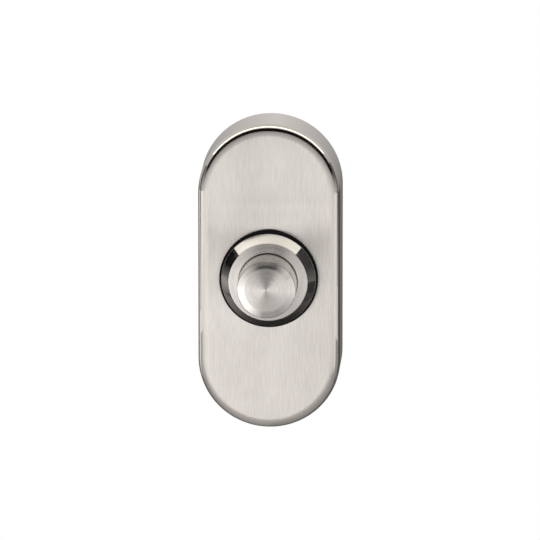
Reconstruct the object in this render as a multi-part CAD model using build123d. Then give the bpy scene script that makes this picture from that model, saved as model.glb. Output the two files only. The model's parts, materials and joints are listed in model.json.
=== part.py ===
from build123d import *
from math import sqrt
import os

# Oval stainless-steel doorbell button, in millimetres.
# X is to the right, +Y goes into the wall and Z is up, so the button is pushed along +Y.
# The origin is the middle of the back, on the wall. Depths below are distances out from the wall.

# Cover: a drawn steel shell with straight sides and round ends
COVER_LENGTH = 70.0
COVER_WIDTH = 32.0
COVER_DEPTH = 13.5
COVER_WALL = 1.5
COVER_EDGE_ROUND = 2.5

# Push button: a turned steel cap with a lip that keeps it behind the bezel
BUTTON_RADIUS = 6.55
BUTTON_RISE = 7.2
BUTTON_TRAVEL = 2.5
BUTTON_EDGE_ROUND = 0.15
CROWN_RADIUS = 4.85
CROWN_SAG = 0.1
CAP_HEIGHT = 0.6
LIP_WIDTH = 0.9
LIP_THICKNESS = 1.0

# Bezel and barrel: one turned steel piece
BEZEL_HEIGHT = 2.9
RING_WIDTH = 2.2
CONE_HEIGHT = 2.44
FLANGE_OVERHANG = 1.1
FLANGE_EDGE_ROUND = 0.1
MOUTH_CHAMFER = 0.15
GUIDE_LENGTH = 4.6
BASE_SEAT_STEP = 0.4
GROOVE_DEPTH = 0.5
BARREL_WALL = 1.0
BARREL_TAIL = 0.6
BARREL_CHAMFER = 0.3

# Rubber rings
GASKET_THICKNESS = 1.2
GASKET_OVERHANG = 0.5
SEAL_SECTION = 0.9
SEAL_DEPTH_IN_GUIDE = 2.1

# Nut and tooth washer that clamp the switch to the cover
NUT_FLAT_WIDTH = 1.5
NUT_THICKNESS = 2.5
WASHER_WIDTH = 2.4
WASHER_TOOTH_LENGTH = 1.0
WASHER_TOOTH_WIDTH = 1.6
WASHER_TEETH = 12
WASHER_THICKNESS = 0.6

# Return spring
SPRING_LENGTH = 4.9
SPRING_WIRE = 0.7
SPRING_TURNS = 2.5

# Plunger, contact bridge and clip, which move with the button
PLUNGER_RADIUS = 2.0
PLUNGER_DEPTH = 5.0
PLUNGER_FLANGE = 1.2
NECK_RADIUS = 1.0
NECK_TAIL = 0.45
BRIDGE_RADIUS = 5.8
BRIDGE_THICKNESS = 0.5
CLIP_RADIUS = 2.2
CLIP_THICKNESS = 0.4

# Moulded base with its contacts, terminals and screws
BASE_THICKNESS = 1.8
BARRIER_WIDTH = 1.4
BARRIER_HEIGHT = 1.6
BARRIER_LENGTH = 10.0
RETAINER_WIDTH = 1.0
RETAINER_THICKNESS = 0.7
RETAINER_GAP = 3.0
RETAINER_EAR_RADIUS = 0.9
RETAINER_EAR_HOLE = 0.4
RETAINER_EAR_OFFSET = 0.7
TERMINAL_X = 4.2
TERMINAL_WIDTH = 3.8
TERMINAL_LENGTH = 8.0
TERMINAL_THICKNESS = 0.8
TERMINAL_CORNER = 1.2
CONTACT_Z = 2.4
CONTACT_HEIGHT = 0.5
CONTACT_HEAD_RADIUS = 0.9
CONTACT_SHANK_RADIUS = 0.6
SCREW_Z = -1.7
SCREW_RADIUS = 1.2
SCREW_HEAD_RADIUS = 2.0
SCREW_HEAD_HEIGHT = 1.5
SCREW_HEAD_ROUND = 0.3
SCREW_SLOT_WIDTH = 0.6
SCREW_SLOT_DEPTH = 0.7
SCREW_REACH = 0.8
CLAMP_SIDE = 3.6
CLAMP_THICKNESS = 0.5

# Back plate: moulded, screwed to the wall, hooked in the cover at the top
PLATE_THICKNESS = 1.5
WIRE_OPENING_MARGIN = 0.7
WALL_SCREW_HOLE_RADIUS = 2.1
WALL_SCREW_HOLE_CHAMFER = 0.5
LUG_TO_SCREW_LAND = 1.0
SCREW_TO_OPENING_LAND = 2.4
HOOK_WIDTH = 7.0
HOOK_THICKNESS = 1.2
HOOK_STEM = 2.4
HOOK_TOOTH_THICKNESS = 1.2
LEDGE_WIDTH = 8.0
LEDGE_REACH = 1.8
LEDGE_THICKNESS = 1.2
HOOK_GRIP = 0.8
LUG_WIDTH = 6.0
LUG_LENGTH = 4.0
LUG_WALL = 1.6

# Grub screw through the cover's lower wall into the lug
GRUB_RADIUS = 1.5
GRUB_LENGTH = 6.0
GRUB_SINK = 0.3
GRUB_SOCKET_WIDTH = 1.5
GRUB_SOCKET_DEPTH = 2.0
GRUB_DEPTH = 4.6

# Clearances
RUNNING_CLEARANCE = 0.08
LIP_CLEARANCE = 0.15
STOP_CLEARANCE = 0.1
FIT_CLEARANCE = 0.05
SLIP_CLEARANCE = 0.1
PLATE_CLEARANCE = 0.2
HOOK_CLEARANCE = 0.2
LUG_CLEARANCE = 0.9
WELL_CLEARANCE = 0.5
EDGE_MATCH = 0.001

# Radii of the turned pieces, from the button outwards
guide_radius = BUTTON_RADIUS + RUNNING_CLEARANCE
lip_radius = BUTTON_RADIUS + LIP_WIDTH
chamber_radius = lip_radius + LIP_CLEARANCE
seat_radius = chamber_radius + BASE_SEAT_STEP
groove_radius = seat_radius + GROOVE_DEPTH
barrel_radius = groove_radius + BARREL_WALL
flange_radius = barrel_radius + FLANGE_OVERHANG
ring_radius = guide_radius + RING_WIDTH
gasket_radius = flange_radius + GASKET_OVERHANG
barrel_hole_radius = barrel_radius + SLIP_CLEARANCE
spring_radius = lip_radius - SPRING_WIRE / 2 - LIP_CLEARANCE * 2
seal_groove_radius = guide_radius + SEAL_SECTION

# Depths of the switch, from the cover's front backwards
cover_inside = COVER_DEPTH - COVER_WALL
flange_back = COVER_DEPTH + GASKET_THICKNESS
ring_front = flange_back + BEZEL_HEIGHT
cone_back = ring_front - CONE_HEIGHT
button_edge = ring_front + BUTTON_RISE
button_front = button_edge + CAP_HEIGHT
guide_back = ring_front - GUIDE_LENGTH
lip_front = guide_back - STOP_CLEARANCE
lip_back = lip_front - LIP_THICKNESS
base_front = lip_back - SPRING_LENGTH
base_back = base_front - BASE_THICKNESS
retainer_back = base_back - RETAINER_THICKNESS
barrel_back = retainer_back - BARREL_TAIL
contact_front = base_front + CONTACT_HEIGHT
bridge_back = contact_front + BUTTON_TRAVEL + FIT_CLEARANCE
bridge_front = bridge_back + BRIDGE_THICKNESS
clip_back = bridge_back - CLIP_THICKNESS
neck_back = clip_back - NECK_TAIL
well_depth = base_front - (neck_back - BUTTON_TRAVEL) + WELL_CLEARANCE
terminal_back = base_back - TERMINAL_THICKNESS
clamp_back = terminal_back - CLAMP_THICKNESS
washer_back = cover_inside - WASHER_THICKNESS
nut_back = washer_back - NUT_THICKNESS

# Ends of the cover and back plate
inner_length = COVER_LENGTH - 2 * COVER_WALL
inner_width = COVER_WIDTH - 2 * COVER_WALL
inner_end = inner_length / 2
ledge_edge = inner_end - LEDGE_REACH
ledge_front = PLATE_THICKNESS + HOOK_STEM - HOOK_CLEARANCE
ledge_back = ledge_front - LEDGE_THICKNESS
hook_face = ledge_edge - HOOK_CLEARANCE
hook_front = PLATE_THICKNESS + HOOK_STEM + HOOK_TOOTH_THICKNESS
lug_end = -(inner_end - LUG_CLEARANCE)
lug_top = lug_end + LUG_LENGTH
screw_rim_radius = WALL_SCREW_HOLE_RADIUS + WALL_SCREW_HOLE_CHAMFER
wall_screw_height = -lug_top - LUG_TO_SCREW_LAND - screw_rim_radius
wire_opening_end = wall_screw_height - screw_rim_radius - SCREW_TO_OPENING_LAND
lug_front = GRUB_DEPTH + GRUB_RADIUS + LUG_WALL
grub_end = -(COVER_LENGTH / 2 - GRUB_SINK)


def front_view(sketch, back, front):
    """Extrude a sketch drawn in the front view between two depths."""
    return extrude(Plane.XZ.offset(back) * sketch, amount=front - back)


def turned(outline):
    """Revolve an outline of (radius, depth) points about the push axis."""
    corners = [(radius, -depth) for radius, depth in outline]
    return revolve(make_face(Polyline(*corners, close=True)), axis=Axis.Y)


def ring(inner, outer, back, front):
    """A flat ring about the push axis."""
    return front_view(Circle(outer) - Circle(inner), back, front)


def stadium(length, width):
    """An upright outline with straight sides and round ends."""
    return SlotOverall(length, width, rotation=90)


def block(width, back, front, low, high):
    """A box centred in X, between two depths and two heights."""
    size = Box(width, front - back, high - low)
    return Pos(0, -(back + front) / 2, (low + high) / 2) * size


def round_edges(solid, radius, depth):
    """The circular edges of a solid that have one radius and lie at one depth."""
    circles = solid.edges().filter_by(GeomType.CIRCLE)
    return [
        edge
        for edge in circles
        if abs(edge.radius - radius) < EDGE_MATCH and abs(edge.arc_center.Y + depth) < EDGE_MATCH
    ]


def front_edges(solid):
    """The edges round a solid's foremost face."""
    return solid.faces().sort_by(Axis.Y)[0].edges()


def pair(solid):
    """The same piece on the right and, turned half round, on the left."""
    return [solid, Rot(0, 180, 0) * solid]


def make_cover():
    shell = front_view(stadium(COVER_LENGTH, COVER_WIDTH), 0, COVER_DEPTH)
    shell = fillet(front_edges(shell), COVER_EDGE_ROUND)
    pocket = front_view(stadium(inner_length, inner_width), 0, cover_inside)
    pocket = fillet(front_edges(pocket), COVER_EDGE_ROUND - COVER_WALL)
    shell -= pocket
    # The ledge at the top hangs behind the back plate's hook
    ledge_root = inner_end + COVER_WALL / 2
    shell += block(LEDGE_WIDTH, ledge_back, ledge_front, ledge_edge, ledge_root)
    shell -= front_view(Circle(barrel_hole_radius), cover_inside, COVER_DEPTH)
    grub_hole = Cylinder(GRUB_RADIUS + SLIP_CLEARANCE, COVER_WALL * 3)
    return shell - Pos(0, -GRUB_DEPTH, -inner_end - COVER_WALL / 2) * grub_hole


def make_back_plate():
    outline = stadium(inner_length - 2 * PLATE_CLEARANCE, inner_width - 2 * PLATE_CLEARANCE)
    opening_width = 2 * (barrel_radius + WIRE_OPENING_MARGIN)
    outline -= stadium(2 * wire_opening_end, opening_width)
    for side in (-1, 1):
        outline -= Pos(0, side * wall_screw_height) * Circle(WALL_SCREW_HOLE_RADIUS)
    plate = front_view(outline, 0, PLATE_THICKNESS)
    screw_rims = round_edges(plate, WALL_SCREW_HOLE_RADIUS, PLATE_THICKNESS)
    plate = chamfer(screw_rims, WALL_SCREW_HOLE_CHAMFER)
    plate += block(HOOK_WIDTH, PLATE_THICKNESS, hook_front, hook_face - HOOK_THICKNESS, hook_face)
    tooth_tip = ledge_edge + HOOK_GRIP
    plate += block(HOOK_WIDTH, hook_front - HOOK_TOOTH_THICKNESS, hook_front, hook_face, tooth_tip)
    plate += block(LUG_WIDTH, PLATE_THICKNESS, lug_front, lug_end, lug_top)
    thread = Cylinder(GRUB_RADIUS + FIT_CLEARANCE, LUG_LENGTH)
    return plate - Pos(0, -GRUB_DEPTH, (lug_end + lug_top) / 2) * thread


def make_grub_screw():
    screw = Cylinder(GRUB_RADIUS, GRUB_LENGTH)
    socket = extrude(RegularPolygon(GRUB_SOCKET_WIDTH / 2, 6, major_radius=False), amount=GRUB_SOCKET_DEPTH)
    screw -= Pos(0, 0, -GRUB_LENGTH / 2) * socket
    return Pos(0, -GRUB_DEPTH, grub_end + GRUB_LENGTH / 2) * screw


def make_switch_body():
    seal_front = ring_front - SEAL_DEPTH_IN_GUIDE + SEAL_SECTION / 2 + SLIP_CLEARANCE
    seal_back = seal_front - SEAL_SECTION - 2 * SLIP_CLEARANCE
    body = turned([
        (guide_radius, ring_front - MOUTH_CHAMFER),
        (guide_radius + MOUTH_CHAMFER, ring_front),
        (ring_radius, ring_front),
        (flange_radius, cone_back),
        (flange_radius, flange_back),
        (barrel_radius, flange_back),
        (barrel_radius, barrel_back + BARREL_CHAMFER),
        (barrel_radius - BARREL_CHAMFER, barrel_back),
        (seat_radius, barrel_back),
        (seat_radius, retainer_back),
        (groove_radius, retainer_back),
        (groove_radius, base_back),
        (seat_radius, base_back),
        (seat_radius, base_front),
        (chamber_radius, base_front),
        (chamber_radius, guide_back),
        (guide_radius, guide_back),
        (guide_radius, seal_back),
        (seal_groove_radius, seal_back),
        (seal_groove_radius, seal_front),
        (guide_radius, seal_front),
    ])
    return fillet(round_edges(body, flange_radius, cone_back), FLANGE_EDGE_ROUND)


def make_push_button():
    front = TangentArc((0, -button_front), (CROWN_RADIUS, CROWN_SAG - button_front), tangent=(1, 0))
    sides = Polyline(
        (CROWN_RADIUS, CROWN_SAG - button_front),
        (BUTTON_RADIUS, -button_edge),
        (BUTTON_RADIUS, -lip_front),
        (lip_radius, -lip_front),
        (lip_radius, -lip_back),
        (PLUNGER_RADIUS, -lip_back),
        (PLUNGER_RADIUS, -(lip_back + PLUNGER_DEPTH)),
        (0, -(lip_back + PLUNGER_DEPTH)),
        (0, -button_front),
    )
    button = revolve(make_face(front + sides), axis=Axis.Y)
    return fillet(round_edges(button, BUTTON_RADIUS, button_edge), BUTTON_EDGE_ROUND)


def make_button_seal():
    centre_radius = guide_radius + SEAL_SECTION / 2 - FIT_CLEARANCE / 2
    section = Pos(centre_radius, SEAL_DEPTH_IN_GUIDE - ring_front) * Circle(SEAL_SECTION / 2)
    return revolve(section, axis=Axis.Y)


def make_lock_nut():
    across_flats = 2 * (barrel_radius + NUT_FLAT_WIDTH)
    hexagon = RegularPolygon(across_flats / 2, 6, major_radius=False)
    corner_radius = hexagon.vertices()[0].center().length
    corner_cut = corner_radius - across_flats / 2
    nut = front_view(hexagon - Circle(barrel_radius + FIT_CLEARANCE), nut_back, washer_back)
    blank = turned([
        (0, nut_back),
        (across_flats / 2, nut_back),
        (corner_radius, nut_back + corner_cut / 2),
        (corner_radius, washer_back),
        (0, washer_back),
    ])
    return nut & blank


def make_lock_washer():
    rim_radius = barrel_hole_radius + WASHER_TOOTH_LENGTH
    outline = Circle(barrel_hole_radius + WASHER_WIDTH) - Circle(rim_radius)
    # Each tooth starts inside the rim so that the two join
    tooth_length = WASHER_TOOTH_LENGTH + (WASHER_WIDTH - WASHER_TOOTH_LENGTH) / 2
    tooth = Rectangle(tooth_length, WASHER_TOOTH_WIDTH, align=(Align.MIN, Align.CENTER))
    for place in PolarLocations(barrel_hole_radius, WASHER_TEETH):
        outline += place * tooth
    outline -= Circle(barrel_hole_radius)
    return front_view(outline, washer_back, cover_inside)


def make_return_spring():
    # The helix runs from face to face, and its ends are ground flat there
    path = Helix(
        SPRING_LENGTH / SPRING_TURNS,
        SPRING_LENGTH,
        spring_radius,
        center=(0, -base_front, 0),
        direction=(0, -1, 0),
    )
    wire = Plane(origin=path @ 0, z_dir=path % 0) * Circle(SPRING_WIRE / 2)
    coil = sweep(wire, path=path, is_frenet=True)
    return coil & front_view(Circle(lip_radius), base_front, lip_back)


def make_plunger():
    shank_radius = PLUNGER_RADIUS - FIT_CLEARANCE
    return turned([
        (0, neck_back),
        (NECK_RADIUS, neck_back),
        (NECK_RADIUS, bridge_front),
        (PLUNGER_RADIUS + PLUNGER_FLANGE, bridge_front),
        (PLUNGER_RADIUS + PLUNGER_FLANGE, lip_back),
        (shank_radius, lip_back),
        (shank_radius, lip_back + PLUNGER_DEPTH - STOP_CLEARANCE),
        (0, lip_back + PLUNGER_DEPTH - STOP_CLEARANCE),
    ])


def make_terminal_base():
    base = front_view(Circle(seat_radius - FIT_CLEARANCE), base_back, base_front)
    base -= front_view(Circle(CLIP_RADIUS + SLIP_CLEARANCE), base_front - well_depth, base_front)
    half_barrier = BARRIER_LENGTH / 2
    base += block(BARRIER_WIDTH, base_back - BARRIER_HEIGHT, base_back, -half_barrier, half_barrier)
    rivet_hole = Pos(TERMINAL_X, CONTACT_Z) * Circle(CONTACT_SHANK_RADIUS + FIT_CLEARANCE)
    screw_hole = Pos(TERMINAL_X, SCREW_Z) * Circle(SCREW_RADIUS + SLIP_CLEARANCE)
    holes = [
        front_view(rivet_hole, base_back, base_front),
        front_view(screw_hole, base_back, base_back + SCREW_REACH + SLIP_CLEARANCE),
    ]
    for hole in holes:
        for copy in pair(hole):
            base -= copy
    return base


def make_retaining_ring():
    outer = groove_radius - FIT_CLEARANCE
    inner = outer - RETAINER_WIDTH
    outline = Circle(outer) - Circle(inner)
    ear_x = RETAINER_GAP / 2 + RETAINER_EAR_OFFSET
    ear_z = -sqrt(inner**2 - ear_x**2)
    for side in (-1, 1):
        ear_centre = Pos(side * ear_x, ear_z)
        outline += ear_centre * Circle(RETAINER_EAR_RADIUS)
        outline -= ear_centre * Circle(RETAINER_EAR_HOLE)
    outline -= Pos(0, -outer) * Rectangle(RETAINER_GAP, 4 * RETAINER_EAR_RADIUS)
    return front_view(outline, retainer_back, base_back)


def make_terminal():
    plate = Pos(TERMINAL_X, 0) * RectangleRounded(TERMINAL_WIDTH, TERMINAL_LENGTH, TERMINAL_CORNER)
    plate -= Pos(TERMINAL_X, CONTACT_Z) * Circle(CONTACT_SHANK_RADIUS + FIT_CLEARANCE)
    plate -= Pos(TERMINAL_X, SCREW_Z) * Circle(SCREW_RADIUS + FIT_CLEARANCE)
    return front_view(plate, terminal_back, base_back)


def make_contact_rivet():
    tail_back = terminal_back - CONTACT_HEIGHT
    rivet = turned([
        (0, tail_back),
        (CONTACT_HEAD_RADIUS, tail_back),
        (CONTACT_HEAD_RADIUS, terminal_back),
        (CONTACT_SHANK_RADIUS, terminal_back),
        (CONTACT_SHANK_RADIUS, base_front),
        (CONTACT_HEAD_RADIUS, base_front),
        (CONTACT_HEAD_RADIUS, contact_front),
        (0, contact_front),
    ])
    return Pos(TERMINAL_X, 0, CONTACT_Z) * rivet


def make_wire_clamp():
    clamp = Rectangle(CLAMP_SIDE, CLAMP_SIDE) - Circle(SCREW_RADIUS + SLIP_CLEARANCE)
    return front_view(Pos(TERMINAL_X, SCREW_Z) * clamp, clamp_back, terminal_back)


def make_terminal_screw():
    head_back = clamp_back - SCREW_HEAD_HEIGHT
    screw = turned([
        (0, head_back),
        (SCREW_HEAD_RADIUS, head_back),
        (SCREW_HEAD_RADIUS, clamp_back),
        (SCREW_RADIUS, clamp_back),
        (SCREW_RADIUS, base_back + SCREW_REACH),
        (0, base_back + SCREW_REACH),
    ])
    screw = fillet(round_edges(screw, SCREW_HEAD_RADIUS, head_back), SCREW_HEAD_ROUND)
    slot_front = head_back + SCREW_SLOT_DEPTH
    screw -= block(SCREW_SLOT_WIDTH, head_back, slot_front, -SCREW_HEAD_RADIUS, SCREW_HEAD_RADIUS)
    return Pos(TERMINAL_X, 0, SCREW_Z) * screw


terminal_right, terminal_left = pair(make_terminal())

pieces = {
    "cover": make_cover(),
    "back_plate": make_back_plate(),
    "cover_grub_screw": make_grub_screw(),
    "switch_body": make_switch_body(),
    "flange_gasket": ring(barrel_hole_radius, gasket_radius, COVER_DEPTH, flange_back),
    "lock_washer": make_lock_washer(),
    "lock_nut": make_lock_nut(),
    "push_button": make_push_button(),
    "button_seal": make_button_seal(),
    "plunger": make_plunger(),
    "contact_bridge": ring(NECK_RADIUS + FIT_CLEARANCE, BRIDGE_RADIUS, bridge_back, bridge_front),
    "bridge_clip": ring(NECK_RADIUS + FIT_CLEARANCE, CLIP_RADIUS, clip_back, bridge_back),
    "return_spring": make_return_spring(),
    "terminal_base": make_terminal_base(),
    "retaining_ring": make_retaining_ring(),
    "terminal_left": terminal_left,
    "terminal_right": terminal_right,
    "contact_rivets": Compound(pair(make_contact_rivet())),
    "wire_clamps": Compound(pair(make_wire_clamp())),
    "terminal_screws": Compound(pair(make_terminal_screw())),
}

os.makedirs("parts", exist_ok=True)
for name, piece in pieces.items():
    export_step(piece, f"parts/{name}.step")
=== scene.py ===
import json
import math

import bmesh
import bpy
from mathutils import Matrix, Vector


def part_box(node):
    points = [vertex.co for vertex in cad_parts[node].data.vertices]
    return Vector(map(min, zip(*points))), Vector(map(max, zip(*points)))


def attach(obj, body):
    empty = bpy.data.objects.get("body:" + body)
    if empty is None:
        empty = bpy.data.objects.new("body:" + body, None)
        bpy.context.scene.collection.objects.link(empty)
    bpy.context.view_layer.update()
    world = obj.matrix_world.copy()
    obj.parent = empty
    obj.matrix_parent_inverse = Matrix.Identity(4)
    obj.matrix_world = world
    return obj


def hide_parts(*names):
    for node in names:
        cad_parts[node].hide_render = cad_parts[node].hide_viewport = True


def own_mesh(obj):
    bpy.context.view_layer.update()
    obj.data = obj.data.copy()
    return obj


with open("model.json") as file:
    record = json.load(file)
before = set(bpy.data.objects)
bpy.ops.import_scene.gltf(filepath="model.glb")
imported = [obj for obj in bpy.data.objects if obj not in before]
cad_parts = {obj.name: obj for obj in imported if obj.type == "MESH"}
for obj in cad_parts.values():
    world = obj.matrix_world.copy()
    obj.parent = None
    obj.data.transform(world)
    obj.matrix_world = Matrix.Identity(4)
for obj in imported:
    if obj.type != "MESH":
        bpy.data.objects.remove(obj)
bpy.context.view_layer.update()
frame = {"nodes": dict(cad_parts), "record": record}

# Sizes are in metres. A depth is a distance out from the wall, along -Y.
MM = 0.001

# Cover, from its solid
cover_low, cover_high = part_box("cover")
COVER_HALF_WIDTH = cover_high[0]
COVER_HALF_LENGTH = cover_high[2]
COVER_DEPTH = -cover_low[1]
COVER_WALL = 1.5 * MM
COVER_EDGE_ROUND = 2.5 * MM
COVER_RIM_ROUND = 0.2 * MM
FACE_MARGIN = 3.2 * MM
BARREL_HOLE_RADIUS = 9.6 * MM

# Grub screw, from its solid, and its hole in the cover
grub_low, grub_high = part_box("cover_grub_screw")
GRUB_RADIUS = grub_high[0]
GRUB_DEPTH = -(grub_low[1] + grub_high[1]) / 2
GRUB_HOLE_CLEARANCE = 0.1 * MM

# Ledge inside the cover's top wall
LEDGE_HALF_WIDTH = 4.0 * MM
LEDGE_BACK = 2.5 * MM
LEDGE_FRONT = 3.7 * MM
LEDGE_EDGE = 31.7 * MM

# Switch body, from its solid
body_low, body_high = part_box("switch_body")
FLANGE_RADIUS = body_high[0]
BARREL_BACK = -body_high[1]
RING_FRONT = -body_low[1]
CONE_HEIGHT = 2.44 * MM
RING_RADIUS = 8.83 * MM
GUIDE_RADIUS = 6.63 * MM
MOUTH_CHAMFER = 0.15 * MM
RING_EDGE_ROUND = 0.05 * MM
FLANGE_EDGE_ROUND = 0.08 * MM
CHAMBER_RADIUS = 7.6 * MM
SEAT_RADIUS = 8.0 * MM
GROOVE_RADIUS = 8.5 * MM
BARREL_RADIUS = 9.5 * MM
BARREL_CHAMFER = 0.3 * MM
GUIDE_BACK = 13.0 * MM
BASE_FRONT = 7.0 * MM
BASE_BACK = 5.2 * MM
RETAINER_BACK = 4.5 * MM
THREAD_PITCH = 1.0 * MM
THREAD_HEIGHT = 0.35 * MM

# Gasket, from its solid
gasket_low, gasket_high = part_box("flange_gasket")
GASKET_RADIUS = gasket_high[0]
GASKET_FRONT = -gasket_low[1]
GASKET_EDGE_ROUND = 0.2 * MM

# Push button, from its solid
button_low, button_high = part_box("push_button")
LIP_RADIUS = button_high[0]
LIP_BACK = -button_high[1]
BUTTON_FRONT = -button_low[1]
LIP_THICKNESS = 1.0 * MM
LIP_FRONT = LIP_BACK + LIP_THICKNESS
LIP_EDGE_ROUND = 0.1 * MM
BUTTON_RADIUS = 6.55 * MM
CAP_HEIGHT = 0.6 * MM
CROWN_RADIUS = 4.85 * MM
CROWN_SAG = 0.1 * MM
CROWN_EDGE_ROUND = 0.25 * MM
BUTTON_EDGE_ROUND = 0.15 * MM
PLUNGER_RADIUS = 2.0 * MM
PLUNGER_DEPTH = 5.0 * MM

# Return spring
SPRING_RADIUS = 6.8 * MM
SPRING_WIRE_RADIUS = 0.35 * MM
SPRING_TURNS = 2.5

# Facets round a full circle, along one turn of a helix, round small circles and in rounded edges
ROUND_STEPS = 192
FINE_ROUND_STEPS = 2 * ROUND_STEPS
HELIX_STEPS = ROUND_STEPS // 2
WIRE_STEPS = 16
DRILL_STEPS = 64
CARD_STEPS = 24
EDGE_STEPS = 12
CROWN_STEPS = 10
BUTTON_EDGE_STEPS = 6
GASKET_EDGE_STEPS = 5
RIM_STEPS = 4
SMALL_EDGE_STEPS = 3

# Narrow strip beside a rounded edge, and the limits for merging and for smooth shading
FLAT_MARGIN = 0.05 * MM
MERGE_DISTANCE = 0.001 * MM
WELD_DISTANCE = 0.0005 * MM
SLICE_DISTANCE = 0.0001 * MM
SMOOTH_ANGLE = math.radians(32)


# Shapes

def draw_line(bm, corners, closed=False):
    """A wire through (across, depth) corners, in the plane of the push axis."""
    verts = [bm.verts.new((across, -depth, 0)) for across, depth in corners]
    ends = list(zip(verts, verts[1:]))
    if closed:
        ends.append((verts[-1], verts[0]))
    for start, end in ends:
        bm.edges.new((start, end))
    return verts


def round_corners(bm, verts, length, steps=EDGE_STEPS):
    """Rounds corners of a wire, back to that length along its lines."""
    bmesh.ops.bevel(
        bm, geom=verts, offset=length, offset_type="OFFSET", segments=steps,
        profile=0.5, affect="VERTICES", material=-1,
    )


def hold_flats(bm, margin):
    """Adds a point near both ends of a wire's long lines, so that rounded corners keep them flat."""
    for edge in [edge for edge in bm.edges if edge.calc_length() > 4 * margin]:
        start, end = edge.verts
        length = edge.calc_length()
        bmesh.utils.edge_split(edge, start, margin / length)
        bmesh.utils.edge_split(edge, end, margin / (length - margin))


def turn(bm, steps=ROUND_STEPS):
    """Turns a drawn wire once round the push axis."""
    bmesh.ops.spin(
        bm, geom=bm.verts[:] + bm.edges[:], axis=(0, 1, 0), cent=(0, 0, 0),
        angle=2 * math.pi, steps=steps, use_merge=True,
    )


def run_round_oval(bm, straight):
    """Runs a wire drawn at the right side round an oval whose straight sides have that half length."""
    section = bm.verts[:] + bm.edges[:]
    bmesh.ops.translate(bm, verts=bm.verts[:], vec=(0, 0, straight))
    for end in (1, -1):
        turned = bmesh.ops.spin(
            bm, geom=section, axis=(0, 1, 0), cent=(0, 0, end * straight),
            angle=-math.pi, steps=ROUND_STEPS // 2, use_merge=False,
        )
        edges = [part for part in turned["geom_last"] if isinstance(part, bmesh.types.BMEdge)]
        pulled = bmesh.ops.extrude_edge_only(bm, edges=edges)["geom"]
        verts = [part for part in pulled if isinstance(part, bmesh.types.BMVert)]
        bmesh.ops.translate(bm, verts=verts, vec=(0, 0, -2 * end * straight))
        section = verts + [part for part in pulled if isinstance(part, bmesh.types.BMEdge)]
    bmesh.ops.remove_doubles(bm, verts=bm.verts[:], dist=MERGE_DISTANCE)


def open_edges(bm, depth):
    """The open edges that lie at one depth."""
    return [
        edge for edge in bm.edges
        if edge.is_boundary and all(abs(vert.co.y + depth) < MERGE_DISTANCE for vert in edge.verts)
    ]


def add_circle(bm, radius, depth, steps=ROUND_STEPS):
    """The edges of a new round wire at one depth."""
    upright = Matrix.Translation((0, -depth, 0)) @ Matrix.Rotation(math.pi / 2, 4, "X")
    made = bmesh.ops.create_circle(bm, cap_ends=False, segments=steps, radius=radius, matrix=upright)
    ring = set(made["verts"])
    return [edge for edge in bm.edges if edge.verts[0] in ring and edge.verts[1] in ring]


def add_block(bm, low, high):
    """A box between two corners."""
    centre = (Vector(low) + Vector(high)) / 2
    size = Vector(high) - Vector(low)
    fitted = Matrix.Translation(centre) @ Matrix.Diagonal((*size, 1))
    bmesh.ops.create_cube(bm, size=1, matrix=fitted)


def make_object(bm, name):
    """Turns a bmesh into a smooth-shaded object at the origin, and frees it."""
    bmesh.ops.remove_doubles(bm, verts=bm.verts[:], dist=WELD_DISTANCE)
    bmesh.ops.recalc_face_normals(bm, faces=bm.faces[:])
    mesh = bpy.data.meshes.new(name)
    bm.to_mesh(mesh)
    bm.free()
    mesh.shade_smooth()
    mesh.set_sharp_from_angle(angle=SMOOTH_ANGLE)
    piece = bpy.data.objects.new(name, mesh)
    bpy.context.scene.collection.objects.link(piece)
    return piece


def cut(piece, cutter):
    """Cuts one object's shape out of another and removes the cutter."""
    hole = piece.modifiers.new("hole", "BOOLEAN")
    hole.operation = "DIFFERENCE"
    hole.solver = "EXACT"
    hole.object = cutter
    whole = piece.evaluated_get(bpy.context.evaluated_depsgraph_get())
    mesh = bpy.data.meshes.new_from_object(whole)
    piece.modifiers.clear()
    piece.data = mesh
    bpy.data.objects.remove(cutter)


def place(piece, node, body):
    """Puts a modelled piece in a solid's place."""
    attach(piece, body)
    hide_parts(node)


# Modelled pieces

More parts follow.
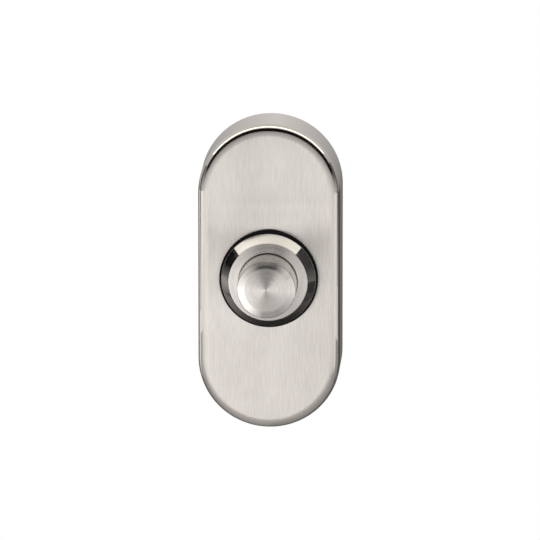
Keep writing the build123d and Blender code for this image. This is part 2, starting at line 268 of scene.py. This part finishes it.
def make_cover():
    bm = bmesh.new()
    inside = COVER_DEPTH - COVER_WALL
    inner = COVER_HALF_WIDTH - COVER_WALL
    corners = draw_line(bm, [
        (COVER_HALF_WIDTH - FACE_MARGIN, COVER_DEPTH),
        (COVER_HALF_WIDTH, COVER_DEPTH),
        (COVER_HALF_WIDTH, 0),
        (inner, 0),
        (inner, inside),
        (COVER_HALF_WIDTH - FACE_MARGIN, inside),
    ])
    outer_edge, rim, inner_edge = corners[1], corners[2:4], corners[4]
    round_corners(bm, [outer_edge], COVER_EDGE_ROUND, 2 * EDGE_STEPS)
    round_corners(bm, rim, COVER_RIM_ROUND, RIM_STEPS)
    round_corners(bm, [inner_edge], COVER_EDGE_ROUND - COVER_WALL)
    hold_flats(bm, 2 * FLAT_MARGIN)
    run_round_oval(bm, COVER_HALF_LENGTH - COVER_HALF_WIDTH)
    holes = []
    for depth in (COVER_DEPTH, inside):
        oval = open_edges(bm, depth)
        circle = add_circle(bm, BARREL_HOLE_RADIUS, depth)
        bmesh.ops.triangle_fill(bm, use_beauty=True, use_dissolve=False, edges=oval + circle)
        holes += circle
    bmesh.ops.bridge_loops(bm, edges=holes)
    add_block(
        bm,
        (-LEDGE_HALF_WIDTH, -LEDGE_FRONT, LEDGE_EDGE),
        (LEDGE_HALF_WIDTH, -LEDGE_BACK, COVER_HALF_LENGTH - COVER_WALL / 2),
    )
    cover = make_object(bm, "oval_cover")
    drill = bmesh.new()
    drill_radius = GRUB_RADIUS + GRUB_HOLE_CLEARANCE
    bmesh.ops.create_cone(
        drill, cap_ends=True, segments=DRILL_STEPS, depth=4 * COVER_WALL,
        radius1=drill_radius, radius2=drill_radius,
        matrix=Matrix.Translation((0, -GRUB_DEPTH, COVER_WALL - COVER_HALF_LENGTH)),
    )
    cut(cover, make_object(drill, "grub_drill"))
    cover.data.shade_smooth()
    cover.data.set_sharp_from_angle(angle=SMOOTH_ANGLE)
    place(cover, "cover", "housing")
    return cover


def make_gasket():
    bm = bmesh.new()
    corners = draw_line(bm, [
        (BARREL_HOLE_RADIUS, COVER_DEPTH),
        (GASKET_RADIUS, COVER_DEPTH),
        (GASKET_RADIUS, GASKET_FRONT),
        (BARREL_HOLE_RADIUS, GASKET_FRONT),
    ], closed=True)
    round_corners(bm, corners[1:3], GASKET_EDGE_ROUND, GASKET_EDGE_STEPS)
    hold_flats(bm, FLAT_MARGIN)
    turn(bm)
    gasket = make_object(bm, "bezel_gasket")
    place(gasket, "flange_gasket", "housing")
    return gasket


def make_switch_body():
    bm = bmesh.new()
    thread_root = BARREL_RADIUS - THREAD_HEIGHT
    thread_back = BARREL_BACK + BARREL_CHAMFER
    corners = draw_line(bm, [
        (GUIDE_RADIUS, RING_FRONT - MOUTH_CHAMFER),
        (GUIDE_RADIUS + MOUTH_CHAMFER, RING_FRONT),
        (RING_RADIUS, RING_FRONT),
        (FLANGE_RADIUS, RING_FRONT - CONE_HEIGHT),
        (FLANGE_RADIUS, GASKET_FRONT),
        (BARREL_RADIUS, GASKET_FRONT),
        (BARREL_RADIUS, COVER_DEPTH - COVER_WALL),
        (thread_root, COVER_DEPTH - COVER_WALL - THREAD_HEIGHT),
        (thread_root, thread_back),
        (BARREL_RADIUS - 2 * BARREL_CHAMFER, BARREL_BACK),
        (SEAT_RADIUS, BARREL_BACK),
        (SEAT_RADIUS, RETAINER_BACK),
        (GROOVE_RADIUS, RETAINER_BACK),
        (GROOVE_RADIUS, BASE_BACK),
        (SEAT_RADIUS, BASE_BACK),
        (SEAT_RADIUS, BASE_FRONT),
        (CHAMBER_RADIUS, BASE_FRONT),
        (CHAMBER_RADIUS, GUIDE_BACK),
        (GUIDE_RADIUS, GUIDE_BACK),
    ], closed=True)
    ring_edge, flange_edge = corners[2:4]
    round_corners(bm, [ring_edge], RING_EDGE_ROUND, SMALL_EDGE_STEPS)
    round_corners(bm, [flange_edge], FLANGE_EDGE_ROUND, SMALL_EDGE_STEPS)
    hold_flats(bm, FLAT_MARGIN)
    turn(bm, FINE_ROUND_STEPS)
    ridge = bmesh.new()
    ridge_foot = thread_root - THREAD_HEIGHT / 4
    draw_line(ridge, [
        (ridge_foot, thread_back),
        (BARREL_RADIUS, thread_back + THREAD_PITCH / 2),
        (ridge_foot, thread_back + THREAD_PITCH),
    ], closed=True)
    bmesh.ops.holes_fill(ridge, edges=ridge.edges[:], sides=3)
    threaded = COVER_DEPTH - COVER_WALL - BARREL_BACK - BARREL_CHAMFER - THREAD_PITCH
    turns = threaded / THREAD_PITCH
    steps = round(turns * HELIX_STEPS)
    bmesh.ops.spin(
        ridge, geom=ridge.verts[:] + ridge.edges[:] + ridge.faces[:], axis=(0, 1, 0), cent=(0, 0, 0),
        angle=2 * math.pi * turns, steps=steps, dvec=(0, -threaded / steps, 0), use_merge=False,
    )
    thread = bpy.data.meshes.new("thread")
    ridge.to_mesh(thread)
    ridge.free()
    bm.from_mesh(thread)
    body = make_object(bm, "turned_switch_body")
    place(body, "switch_body", "housing")
    return body


def make_push_button():
    bm = bmesh.new()
    corners = draw_line(bm, [
        (0, BUTTON_FRONT),
        (CROWN_RADIUS / 2, BUTTON_FRONT - CROWN_SAG / 4),
        (CROWN_RADIUS, BUTTON_FRONT - CROWN_SAG),
        (BUTTON_RADIUS, BUTTON_FRONT - CAP_HEIGHT),
        (BUTTON_RADIUS, LIP_FRONT),
        (LIP_RADIUS, LIP_FRONT),
        (LIP_RADIUS, LIP_BACK),
        (PLUNGER_RADIUS, LIP_BACK),
        (PLUNGER_RADIUS, LIP_BACK + PLUNGER_DEPTH),
        (0, LIP_BACK + PLUNGER_DEPTH),
    ])
    crown, crown_edge, cap_edge = corners[1:4]
    round_corners(bm, [crown], CROWN_RADIUS / 3, CROWN_STEPS)
    round_corners(bm, [crown_edge], CROWN_EDGE_ROUND, BUTTON_EDGE_STEPS)
    round_corners(bm, [cap_edge], BUTTON_EDGE_ROUND, BUTTON_EDGE_STEPS)
    round_corners(bm, corners[5:7], LIP_EDGE_ROUND, SMALL_EDGE_STEPS)
    hold_flats(bm, FLAT_MARGIN)
    turn(bm, FINE_ROUND_STEPS)
    button = make_object(bm, "turned_push_button")
    place(button, "push_button", "button")
    return button


def make_return_spring():
    bm = bmesh.new()
    length = LIP_BACK - BASE_FRONT
    start = Matrix.Translation((SPRING_RADIUS, -BASE_FRONT, 0))
    bmesh.ops.create_circle(bm, cap_ends=True, segments=WIRE_STEPS, radius=SPRING_WIRE_RADIUS, matrix=start)
    steps = round(SPRING_TURNS * HELIX_STEPS)
    bmesh.ops.spin(
        bm, geom=bm.verts[:] + bm.edges[:] + bm.faces[:], axis=(0, 1, 0), cent=(0, 0, 0),
        angle=2 * math.pi * SPRING_TURNS, steps=steps, dvec=(0, -length / steps, 0), use_merge=False,
    )
    for depth, outward in ((BASE_FRONT, 1), (LIP_BACK, -1)):
        cut_through = bmesh.ops.bisect_plane(
            bm, geom=bm.verts[:] + bm.edges[:] + bm.faces[:], plane_co=(0, -depth, 0),
            plane_no=(0, outward, 0), clear_outer=True, dist=SLICE_DISTANCE,
        )
        edges = [part for part in cut_through["geom_cut"] if isinstance(part, bmesh.types.BMEdge)]
        bmesh.ops.contextual_create(bm, geom=edges)
    spring = make_object(bm, "coil_spring")
    place(spring, "return_spring", "housing")
    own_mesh(spring)
    return spring


# Materials

# Where most of a noise pattern lies, how deep marks look, and how the cover's brushing ends at its edge
NOISE_RANGE = (0.3, 0.7)
TOOL_MARK_DEPTH = 0.02 * MM
SPECK_DEPTH = 0.05 * MM
FRONT_FADE = 0.35 * MM
BRUSH_FADE = (0.23 * MM, 0.4 * MM)


def new_material(name):
    """A material with its node tree and its shader."""
    material = bpy.data.materials.new(name)
    material.use_nodes = True
    tree = material.node_tree
    shader = tree.nodes["Principled BSDF"]
    return material, tree, shader


def add(tree, kind, **settings):
    """Adds a node and sets its properties."""
    node = tree.nodes.new(kind)
    for key, value in settings.items():
        setattr(node, key, value)
    return node


def add_math(tree, operation, first, second):
    """A Math node on two values or sockets."""
    node = add(tree, "ShaderNodeMath", operation=operation)
    for socket, value in zip(node.inputs, (first, second)):
        if isinstance(value, (int, float)):
            socket.default_value = value
        else:
            tree.links.new(value, socket)
    return node.outputs[0]


def map_value(tree, value, low, high, to_low, to_high):
    """Stretches a range of values to another."""
    node = add(tree, "ShaderNodeMapRange")
    tree.links.new(value, node.inputs["Value"])
    for name, number in zip(("From Min", "From Max", "To Min", "To Max"), (low, high, to_low, to_high)):
        node.inputs[name].default_value = number
    return node.outputs["Result"]


def spread(tree, pattern, to_low=0, to_high=1):
    """Stretches the range where most of a noise pattern lies."""
    return map_value(tree, pattern, *NOISE_RANGE, to_low, to_high)


def weigh(tree, value, share):
    """Multiplies a socket by a share or by another socket."""
    return add_math(tree, "MULTIPLY", value, share)


def mix_colors(tree, factor, dark, light):
    """Goes from one colour or socket to another by a factor."""
    node = add(tree, "ShaderNodeMix", data_type="RGBA")
    ends = [socket for socket in node.inputs if socket.type == "RGBA"]
    for socket, color in zip(ends, (dark, light)):
        if isinstance(color, tuple):
            socket.default_value = (*color, 1)
        else:
            tree.links.new(color, socket)
    tree.links.new(factor, node.inputs["Factor"])
    return next(socket for socket in node.outputs if socket.type == "RGBA")


def new_group(name, outputs, inputs=()):
    """A shader node group with value sockets."""
    group = bpy.data.node_groups.new(name, "ShaderNodeTree")
    for socket, start in inputs:
        made = group.interface.new_socket(socket, in_out="INPUT", socket_type="NodeSocketFloat")
        made.default_value = start
    for socket in outputs:
        group.interface.new_socket(socket, in_out="OUTPUT", socket_type="NodeSocketFloat")
    return group, add(group, "NodeGroupInput"), add(group, "NodeGroupOutput")


def use_group(tree, group, **values):
    """Places a group and sets its inputs."""
    node = add(tree, "ShaderNodeGroup", node_tree=group)
    for name, value in values.items():
        node.inputs[name.replace("_", " ").capitalize()].default_value = value
    return node


def add_noise(tree, vector, scale, detail=2.0, dimensions="3D"):
    """A noise pattern on a vector."""
    noise = add(tree, "ShaderNodeTexNoise", noise_dimensions=dimensions)
    noise.inputs["Scale"].default_value = scale
    noise.inputs["Detail"].default_value = detail
    tree.links.new(vector, noise.inputs["Vector"])
    return noise


def add_bump(tree, shader, height, strength, distance):
    """Lets a height pattern stir the surface."""
    bump = add(tree, "ShaderNodeBump")
    bump.inputs["Strength"].default_value = strength
    bump.inputs["Distance"].default_value = distance
    tree.links.new(height, bump.inputs["Height"])
    tree.links.new(bump.outputs["Normal"], shader.inputs["Normal"])


def make_brush_group():
    """Fine upright brushing lines with broader streaks under them."""
    group, _, out = new_group("upright_brushing", ("Lines", "Streaks", "Clouds"))
    where = add(group, "ShaderNodeTexCoord").outputs["Object"]
    for socket, scale in (
        ("Lines", (6500, 6500, 320)),
        ("Streaks", (2600, 2600, 150)),
        ("Clouds", (70, 70, 30)),
    ):
        stretch = add(group, "ShaderNodeMapping")
        stretch.inputs["Scale"].default_value = scale
        group.links.new(where, stretch.inputs["Vector"])
        noise = add_noise(group, stretch.outputs["Vector"], 1.0)
        group.links.new(noise.outputs["Fac"], out.inputs[socket])
    return group


def make_turning_group():
    """Tool marks that run round the push axis, by radius and depth."""
    group, given, out = new_group("turning_marks", ("Marks", "Bands"), (("Fineness", 5000.0),))
    where = add(group, "ShaderNodeTexCoord").outputs["Object"]
    flat = add(group, "ShaderNodeVectorMath", operation="MULTIPLY")
    flat.inputs[1].default_value = (1, 0, 1)
    group.links.new(where, flat.inputs[0])
    radius = add(group, "ShaderNodeVectorMath", operation="LENGTH")
    group.links.new(flat.outputs["Vector"], radius.inputs[0])
    heading = add(group, "ShaderNodeVectorMath", operation="NORMALIZE")
    group.links.new(flat.outputs["Vector"], heading.inputs[0])
    turn_parts = add(group, "ShaderNodeSeparateXYZ")
    group.links.new(heading.outputs["Vector"], turn_parts.inputs[0])
    depth_parts = add(group, "ShaderNodeSeparateXYZ")
    group.links.new(where, depth_parts.inputs[0])
    for socket, share, sweep in (("Marks", 1.0, 0.5), ("Bands", 0.22, 0.3)):
        pitch = add_math(group, "MULTIPLY", given.outputs["Fineness"], share)
        across = add_math(group, "MULTIPLY", radius.outputs["Value"], pitch)
        along = add_math(group, "MULTIPLY", depth_parts.outputs["Y"], pitch)
        spot = add(group, "ShaderNodeCombineXYZ")
        group.links.new(add_math(group, "MULTIPLY", turn_parts.outputs["X"], sweep), spot.inputs["X"])
        group.links.new(across, spot.inputs["Y"])
        group.links.new(add_math(group, "MULTIPLY", turn_parts.outputs["Z"], sweep), spot.inputs["Z"])
        noise = add_noise(group, spot.outputs["Vector"], 1.0, dimensions="4D")
        group.links.new(along, noise.inputs["W"])
        group.links.new(noise.outputs["Fac"], out.inputs[socket])
    return group


def make_speck_group():
    """Fine even specks and soft clouds for moulded, plated and rubber surfaces."""
    group, given, out = new_group("specks", ("Specks", "Clouds"), (("Fineness", 3000.0),))
    where = add(group, "ShaderNodeTexCoord").outputs["Object"]
    specks = add_noise(group, where, 1.0, 3.0)
    group.links.new(given.outputs["Fineness"], specks.inputs["Scale"])
    clouds = add_noise(group, where, 160.0, 3.0)
    group.links.new(specks.outputs["Fac"], out.inputs["Specks"])
    group.links.new(clouds.outputs["Fac"], out.inputs["Clouds"])
    return group


brushing = make_brush_group()
turning = make_turning_group()
specks = make_speck_group()


def make_brushed_steel():
    """Brushed front, with a smoother rounded edge and flank."""
    material, tree, shader = new_material("brushed_steel_cover")
    shader.inputs["Metallic"].default_value = 1.0
    shader.inputs["Anisotropic"].default_value = 1.0
    grain = use_group(tree, brushing)
    depth = add(tree, "ShaderNodeSeparateXYZ")
    tree.links.new(add(tree, "ShaderNodeTexCoord").outputs["Object"], depth.inputs[0])
    front = map_value(tree, depth.outputs["Y"], -COVER_DEPTH, FRONT_FADE - COVER_DEPTH, 1, 0)
    shade = 0.0
    for pattern, share in (("Lines", 0.45), ("Streaks", 0.15), ("Clouds", 0.5)):
        centred = spread(tree, grain.outputs[pattern], -0.5, 0.5)
        shade = add_math(tree, "ADD", shade, weigh(tree, centred, share))
    # The face's colour is lifted above that of the rounded edge and flank: painted light standing in for a
    # brighter reflection; the lines, streaks and clouds are the brushing's own tone
    shade = add_math(tree, "ADD", weigh(tree, shade, front), weigh(tree, front, 0.55))
    color = mix_colors(tree, shade, (0.68, 0.655, 0.625), (0.94, 0.915, 0.885))
    tree.links.new(color, shader.inputs["Base Color"])
    fade_front, fade_back = (fade - COVER_DEPTH for fade in BRUSH_FADE)
    brushed = map_value(tree, depth.outputs["Y"], fade_front, fade_back, 0.25, 0)
    rough = add_math(tree, "ADD", brushed, spread(tree, grain.outputs["Streaks"], 0.06, 0.1))
    tree.links.new(rough, shader.inputs["Roughness"])
    add_bump(tree, shader, grain.outputs["Lines"], 0.08, TOOL_MARK_DEPTH)
    tangent = add(tree, "ShaderNodeTangent", direction_type="RADIAL", axis="Z")
    tree.links.new(tangent.outputs["Tangent"], shader.inputs["Tangent"])
    return material


def make_turned_steel():
    """Turned steel, rougher on flat faces, with a smoother cone whose base colour is painted dark as painted
    shade.
    """
    material, tree, shader = new_material("turned_steel")
    shader.inputs["Metallic"].default_value = 1.0
    shader.inputs["Anisotropic"].default_value = 0.9
    shader.inputs["Anisotropic Rotation"].default_value = 0.25
    marks = use_group(tree, turning, fineness=5200.0)
    shade = add_math(
        tree, "ADD",
        weigh(tree, spread(tree, marks.outputs["Marks"]), 0.5),
        weigh(tree, spread(tree, marks.outputs["Bands"]), 0.5),
    )
    lean = add(tree, "ShaderNodeSeparateXYZ")
    tree.links.new(add(tree, "ShaderNodeTexCoord").outputs["Normal"], lean.inputs[0])
    faced = map_value(tree, lean.outputs["Y"], -0.985, -0.94, 1, 0)
    # The bezel's cone faces about 54 degrees away from the front; its base colour is painted dark, a painted
    # shade standing in for the dark surroundings it mirrors, and it is smoother
    painted_cone_shade_mask = weigh(
        tree,
        map_value(tree, lean.outputs["Y"], -0.72, -0.66, 0, 1),
        map_value(tree, lean.outputs["Y"], -0.52, -0.46, 1, 0),
    )
    bright = mix_colors(tree, shade, (0.8, 0.78, 0.76), (0.94, 0.915, 0.89))
    # The dark colours are the cone's painted shade
    dark = mix_colors(tree, shade, (0.18, 0.176, 0.172), (0.33, 0.322, 0.314))
    tree.links.new(mix_colors(tree, painted_cone_shade_mask, bright, dark), shader.inputs["Base Color"])
    rough = weigh(
        tree,
        map_value(tree, shade, 0.2, 0.8, 0.08, 0.18),
        map_value(tree, painted_cone_shade_mask, 0, 1, 1, 0.5),
    )
    rough = add_math(tree, "ADD", rough, weigh(tree, faced, 0.14))
    tree.links.new(rough, shader.inputs["Roughness"])
    add_bump(tree, shader, marks.outputs["Marks"], 0.1, TOOL_MARK_DEPTH)
    tangent = add(tree, "ShaderNodeTangent", direction_type="RADIAL", axis="Y")
    tree.links.new(tangent.outputs["Tangent"], shader.inputs["Tangent"])
    return material


def make_speckled(name, dark, light, metal, rough, fineness, bump, gloss=0.5):
    """A plain finish with fine specks: plating, brass, rubber, moulded plastic or nylon."""
    material, tree, shader = new_material(name)
    shader.inputs["Metallic"].default_value = metal
    shader.inputs["Specular IOR Level"].default_value = gloss
    grain = use_group(tree, specks, fineness=fineness)
    shade = spread(tree, grain.outputs["Clouds"])
    tree.links.new(mix_colors(tree, shade, dark, light), shader.inputs["Base Color"])
    tree.links.new(spread(tree, grain.outputs["Specks"], *rough), shader.inputs["Roughness"])
    add_bump(tree, shader, grain.outputs["Specks"], bump, SPECK_DEPTH)
    return material


materials = {
    "brushed_steel": make_brushed_steel(),
    "turned_steel": make_turned_steel(),
    "plated_steel": make_speckled(
        "plated_steel", (0.50, 0.51, 0.50), (0.68, 0.68, 0.66), 1.0, (0.28, 0.42), 2600.0, 0.12),
    "brass": make_speckled("brass", (0.66, 0.46, 0.18), (0.80, 0.60, 0.28), 1.0, (0.22, 0.36), 2200.0, 0.08),
    "black_rubber": make_speckled(
        "black_rubber", (0.004, 0.004, 0.004), (0.009, 0.008, 0.008), 0.0, (0.7, 0.85), 4200.0, 0.25,
        gloss=0.1),
    "black_plastic": make_speckled(
        "black_plastic", (0.022, 0.022, 0.023), (0.036, 0.036, 0.037), 0.0, (0.45, 0.6), 3600.0, 0.3),
    "white_nylon": make_speckled(
        "white_nylon", (0.76, 0.75, 0.70), (0.84, 0.83, 0.79), 0.0, (0.4, 0.5), 2400.0, 0.1),
}

modelled = {
    "cover": make_cover(),
    "flange_gasket": make_gasket(),
    "switch_body": make_switch_body(),
    "push_button": make_push_button(),
    "return_spring": make_return_spring(),
}

for subpart in frame["record"]["subparts"]:
    piece = modelled.get(subpart["node"], frame["nodes"][subpart["node"]])
    piece.data.materials.clear()
    piece.data.materials.append(materials[subpart["material_slot"]])


# Studio

VIEW_AZIMUTH = math.radians(3.0)
VIEW_ELEVATION = math.radians(13.5)
VIEW_DISTANCE = 2.0
PIXELS_PER_METRE = 4427.0
FRAME_PIXELS = 540
ORIGIN_IN_FRAME = (272.0, 264.1)
SENSOR_WIDTH = 36.0
FLOOR_HEIGHT = -0.6
FLOOR_SIZE = 3.0
SKY_ON_PAINT = 0.8
SKY_SEEN = 1.0

# Cards that the metal mirrors, with angles in degrees
CARD_COLOR = (1.0, 0.97, 0.94)
WARM_COLOR = (1.0, 0.955, 0.87)
CARD_RADIUS = 0.5
CEILING_RADIUS = 0.45
CEILING_LEAN = 8.6
SECTOR_RADIUS = 0.48
SOFTBOX_RADIUS = 0.45
SOFTBOX_TILT = (12, 41)
SOFTBOX_LEAN = 13.5
FLAG_RADIUS = 0.06
REFLECTOR_RADIUS = 0.045
CAP_FLAG_TILT = (2.6, 12)
CAP_FLAG_LEAN = 6.1
AWNING_HEIGHT = 13.0 * MM
AWNING_DEPTHS = (7.0 * MM, 24.0 * MM)


def make_plain(name, color, strength=None):
    """A plain stage material: paint, or an even glow."""
    material, tree, shader = new_material(name)
    shader.inputs["Base Color"].default_value = (*color, 1)
    shader.inputs["Roughness"].default_value = 0.9
    shader.inputs["Specular IOR Level"].default_value = 0.0
    if strength is not None:
        shader.inputs["Base Color"].default_value = (0, 0, 0, 1)
        shader.inputs["Emission Color"].default_value = (*color, 1)
        shader.inputs["Emission Strength"].default_value = strength
    return material


def make_glow(name, tint, glow, radius, tilt=None, clock=None):
    """An even light for a card, or one that goes from one glow to another along its tilt or clock."""
    if tilt is None and clock is None:
        return make_plain(name, tint, glow)
    material = make_plain(name, tint, 0.0)
    tree = material.node_tree
    spot = add(tree, "ShaderNodeSeparateXYZ")
    tree.links.new(add(tree, "ShaderNodeTexCoord").outputs["Object"], spot.inputs[0])
    if tilt:
        angle = add_math(tree, "ARCCOSINE", add_math(tree, "DIVIDE", spot.outputs["Y"], -radius), 0.0)
    else:
        angle = add_math(tree, "ARCTAN2", spot.outputs["X"], spot.outputs["Z"])
    first, last = tilt or clock
    strength = map_value(tree, angle, math.radians(first), math.radians(last), *glow)
    tree.links.new(strength, tree.nodes["Principled BSDF"].inputs["Emission Strength"])
    return material


def hang_card(bm, name, material, lean=0, depth=0):
    """Hangs up a card that only reflections see, leaned down by degrees, at a depth."""
    card = make_object(bm, name)
    card.rotation_euler.x = math.radians(lean)
    card.location.y = -depth
    card.data.materials.append(material)
    card.visible_camera = False
    card.visible_diffuse = False
    card.visible_shadow = False


def bend_card(name, start, sweeps, material, lean=0):
    """A bent card, swept from a corner about two axes by degrees."""
    bm = bmesh.new()
    bm.verts.new(start)
    for axis, angle in sweeps:
        bmesh.ops.spin(
            bm, geom=bm.verts[:] + bm.edges[:], axis=axis, cent=(0, 0, 0),
            angle=math.radians(angle), steps=CARD_STEPS, use_merge=False,
        )
    hang_card(bm, name, material, lean)


def add_awning(name, height, depths, clock, glow, lean):
    """A flat card in front of the button and above it, edge-on to the cover's face, faded along its clock."""
    bm = bmesh.new()
    left, right = (height * math.tan(math.radians(angle)) for angle in clock)
    draw_line(bm, [(left, depth) for depth in depths])
    bmesh.ops.translate(bm, verts=bm.verts[:], vec=(0, 0, height))
    pulled = bmesh.ops.extrude_edge_only(bm, edges=bm.edges[:])["geom"]
    verts = [part for part in pulled if isinstance(part, bmesh.types.BMVert)]
    bmesh.ops.translate(bm, verts=verts, vec=(right - left, 0, 0))
    hang_card(bm, name, make_glow(name, CARD_COLOR, glow, height, clock=clock), lean, BUTTON_FRONT)


def add_round_card(name, tilt, clock, glow, fade=None, radius=CARD_RADIUS, lean=0, tint=CARD_COLOR):
    """A card round the push axis: tilt goes from ahead to behind, clock from twelve o'clock to the right."""
    first = math.radians(clock[0])
    across = Vector((-math.cos(first), 0, math.sin(first)))
    start = Matrix.Rotation(math.radians(tilt[0]), 3, across) @ Vector((0, -radius, 0))
    spans = {"tilt": tilt, "clock": clock}
    faded = {measure: spans[measure] for measure in spans if measure == fade}
    sweeps = ((across, tilt[1] - tilt[0]), ((0, 1, 0), clock[1] - clock[0]))
    bend_card(name, start, sweeps, make_glow(name, tint, glow, radius, **faded), lean)


def add_upright_card(name, azimuth, elevation, glow, radius=CARD_RADIUS):
    """A card in front: azimuth goes from straight ahead to the right, elevation from level to overhead."""
    turned = Matrix.Rotation(math.radians(azimuth[0]), 3, "Z")
    across = turned @ Vector((-1, 0, 0))
    start = Matrix.Rotation(math.radians(elevation[0]), 3, across) @ turned @ Vector((0, -radius, 0))
    sweeps = ((across, elevation[1] - elevation[0]), ((0, 0, 1), azimuth[1] - azimuth[0]))
    bend_card(name, start, sweeps, make_glow(name, CARD_COLOR, glow, radius))


# Far cards, for the cover's rounded edge and walls
for name, tilt, clock, glow in (
    ("ceiling_card", (55.5, 88.5), (-74, 74), (0.005, 0.005)),
    ("right_ceiling_card", (60, 88.5), (74, 94), (0.005, 0.6)),
    ("left_ceiling_card", (60, 88.5), (-94, -74), (0.7, 0.005)),
):
    add_round_card(name, tilt, clock, glow, fade="clock", radius=CEILING_RADIUS, lean=CEILING_LEAN)
add_round_card("top_card", (75, 150), (-50, 50), 0.75, tint=WARM_COLOR)
add_round_card("sector_card", (91.5, 100.5), (-64, 58), 3.3, radius=SECTOR_RADIUS, tint=WARM_COLOR)
add_round_card("right_shoulder_card", (75, 150), (50, 98), (0.75, 0.3), fade="clock")
add_round_card("left_shoulder_card", (75, 150), (-98, -50), (0.5, 0.75), fade="clock")
add_round_card("right_card", (40, 101), (98, 120), (1.25, 0.7), fade="tilt")
add_round_card("right_rear_card", (101, 150), (98, 120), 0.1)
add_round_card("left_card", (40, 120), (-122, -98), (0.35, 1.3), fade="clock")
add_round_card("left_rear_card", (120, 150), (-120, -98), 0.1)
add_round_card("right_back_card", (150, 179), (0, 179), (0.76, 0.1), fade="clock")
add_round_card("left_back_card", (150, 179), (-179, 0), (0.2, 0.76), fade="clock")
add_round_card("low_card", (30, 56), (120, 210), (0.8, 0.05), fade="tilt")
add_round_card("low_left_card", (30, 57), (210, 240), (0.95, 0.3), fade="tilt")
add_round_card("right_low_back_card", (56, 150), (120, 145), (0.2, 0.03), fade="clock")
add_round_card("low_back_card", (56, 150), (145, 215), 0.03)
add_round_card("left_low_back_card", (56, 150), (-145, -120), (0.03, 0.3), fade="clock")
add_upright_card("front_ceiling_card", (-60, 60), (24, 49), 0.55)
add_upright_card("front_card", (-60, 60), (-9, 24), 0.6)

# Softboxes in front, for the face and the cap
for name, clock, glow in (
    ("left_softbox_foot", (-165, -135), (0.5, 1.5)),
    ("left_softbox", (-135, -95), (1.5, 1.45)),
    ("left_softbox_head", (-95, -58), (1.45, 0.75)),
    ("right_softbox", (62, 95), (0.8, 0.8)),
    ("right_softbox_foot", (95, 165), (0.8, 0.3)),
):
    add_round_card(name, SOFTBOX_TILT, clock, glow, fade="clock", radius=SOFTBOX_RADIUS, lean=SOFTBOX_LEAN)
add_upright_card("camera_card", (-9, 9), (-35, -9), 0.56, radius=SOFTBOX_RADIUS)
add_upright_card("camera_foot_card", (-9, 9), (-50, -35), 0.38, radius=SOFTBOX_RADIUS)

# Small dark flags close to the bezel's cone
for name, tilt, clock, glow in (
    ("right_flag", (77, 90), (50.5, 80), (0.15, 0.15)),
    ("right_flag_end", (77, 90), (80, 102), (0.15, 0.45)),
    ("left_flag", (80.5, 92), (-80, -57), (0.01, 0.01)),
    ("left_flag_end", (80.5, 92), (-108, -80), (0.7, 0.01)),
):
    add_round_card(name, tilt, clock, glow, fade="clock", radius=FLAG_RADIUS)

# Reflectors under the cover's lower end
for name, tilt, clock, glow in (
    ("right_reflector", (63, 90), (140, 180), (0.5, 0.1)),
    ("right_side_reflector", (63, 78), (118, 140), (0.5, 0.25)),
    ("left_reflector", (63, 90), (180, 222), (0.6, 0.12)),
    ("left_side_reflector", (63, 78), (222, 244), (0.7, 0.35)),
):
    add_round_card(name, tilt, clock, glow, fade="tilt", radius=REFLECTOR_RADIUS)

# Dark flags in front of the cap's upper part, and an awning above them for the cap's edge
for name, clock, glow in (
    ("left_cap_flag", (-50, -22), (0.7, 0.05)),
    ("cap_flag", (-22, 18), (0.05, 0.05)),
    ("right_cap_flag", (18, 44), (0.05, 0.7)),
):
    add_round_card(
        name, CAP_FLAG_TILT, clock, glow, fade="clock", radius=REFLECTOR_RADIUS, lean=CAP_FLAG_LEAN,
    )
for name, clock, glow in (
    ("left_awning", (-56, -20), (0.7, 0.03)),
    ("awning", (-20, 18), (0.03, 0.03)),
    ("right_awning", (18, 52), (0.03, 0.7)),
):
    add_awning(name, AWNING_HEIGHT, AWNING_DEPTHS, clock, glow, SOFTBOX_LEAN)

# Floor
floor_mesh = bmesh.new()
bmesh.ops.create_grid(
    floor_mesh, x_segments=1, y_segments=1, size=FLOOR_SIZE / 2,
    matrix=Matrix.Translation((0, 0, FLOOR_HEIGHT)),
)
floor = make_object(floor_mesh, "floor")
floor.data.materials.append(make_plain("pale_floor", (0.86, 0.85, 0.84)))

# White surroundings, a little dimmer as diffuse light than where they are seen or mirrored
world = bpy.data.worlds.new("studio")
bpy.context.scene.world = world
world.use_nodes = True
sky = world.node_tree
paths = add(sky, "ShaderNodeLightPath")
seen = add_math(sky, "MAXIMUM", paths.outputs["Is Camera Ray"], paths.outputs["Is Glossy Ray"])
seen = add_math(sky, "MAXIMUM", seen, paths.outputs["Is Transmission Ray"])
level = map_value(sky, seen, 0, 1, SKY_ON_PAINT, SKY_SEEN)
background = sky.nodes["Background"]
background.inputs["Color"].default_value = (1, 1, 1, 1)
sky.links.new(level, background.inputs["Strength"])

# Camera
right = Vector((math.cos(VIEW_AZIMUTH), math.sin(VIEW_AZIMUTH), 0))
towards = Vector((
    math.sin(VIEW_AZIMUTH) * math.cos(VIEW_ELEVATION),
    -math.cos(VIEW_AZIMUTH) * math.cos(VIEW_ELEVATION),
    math.sin(VIEW_ELEVATION),
))
up = towards.cross(right)
middle = FRAME_PIXELS / 2
aim = right * (middle - ORIGIN_IN_FRAME[0]) / PIXELS_PER_METRE
aim += up * (ORIGIN_IN_FRAME[1] - middle) / PIXELS_PER_METRE
camera = bpy.data.objects.new("camera", bpy.data.cameras.new("camera"))
bpy.context.scene.collection.objects.link(camera)
camera.data.sensor_width = SENSOR_WIDTH
camera.data.lens = SENSOR_WIDTH * VIEW_DISTANCE * PIXELS_PER_METRE / FRAME_PIXELS
camera.location = aim + towards * VIEW_DISTANCE
camera.rotation_euler = towards.to_track_quat("Z", "Y").to_euler()
bpy.context.scene.camera = camera
bpy.context.scene.view_settings.view_transform = "Standard"
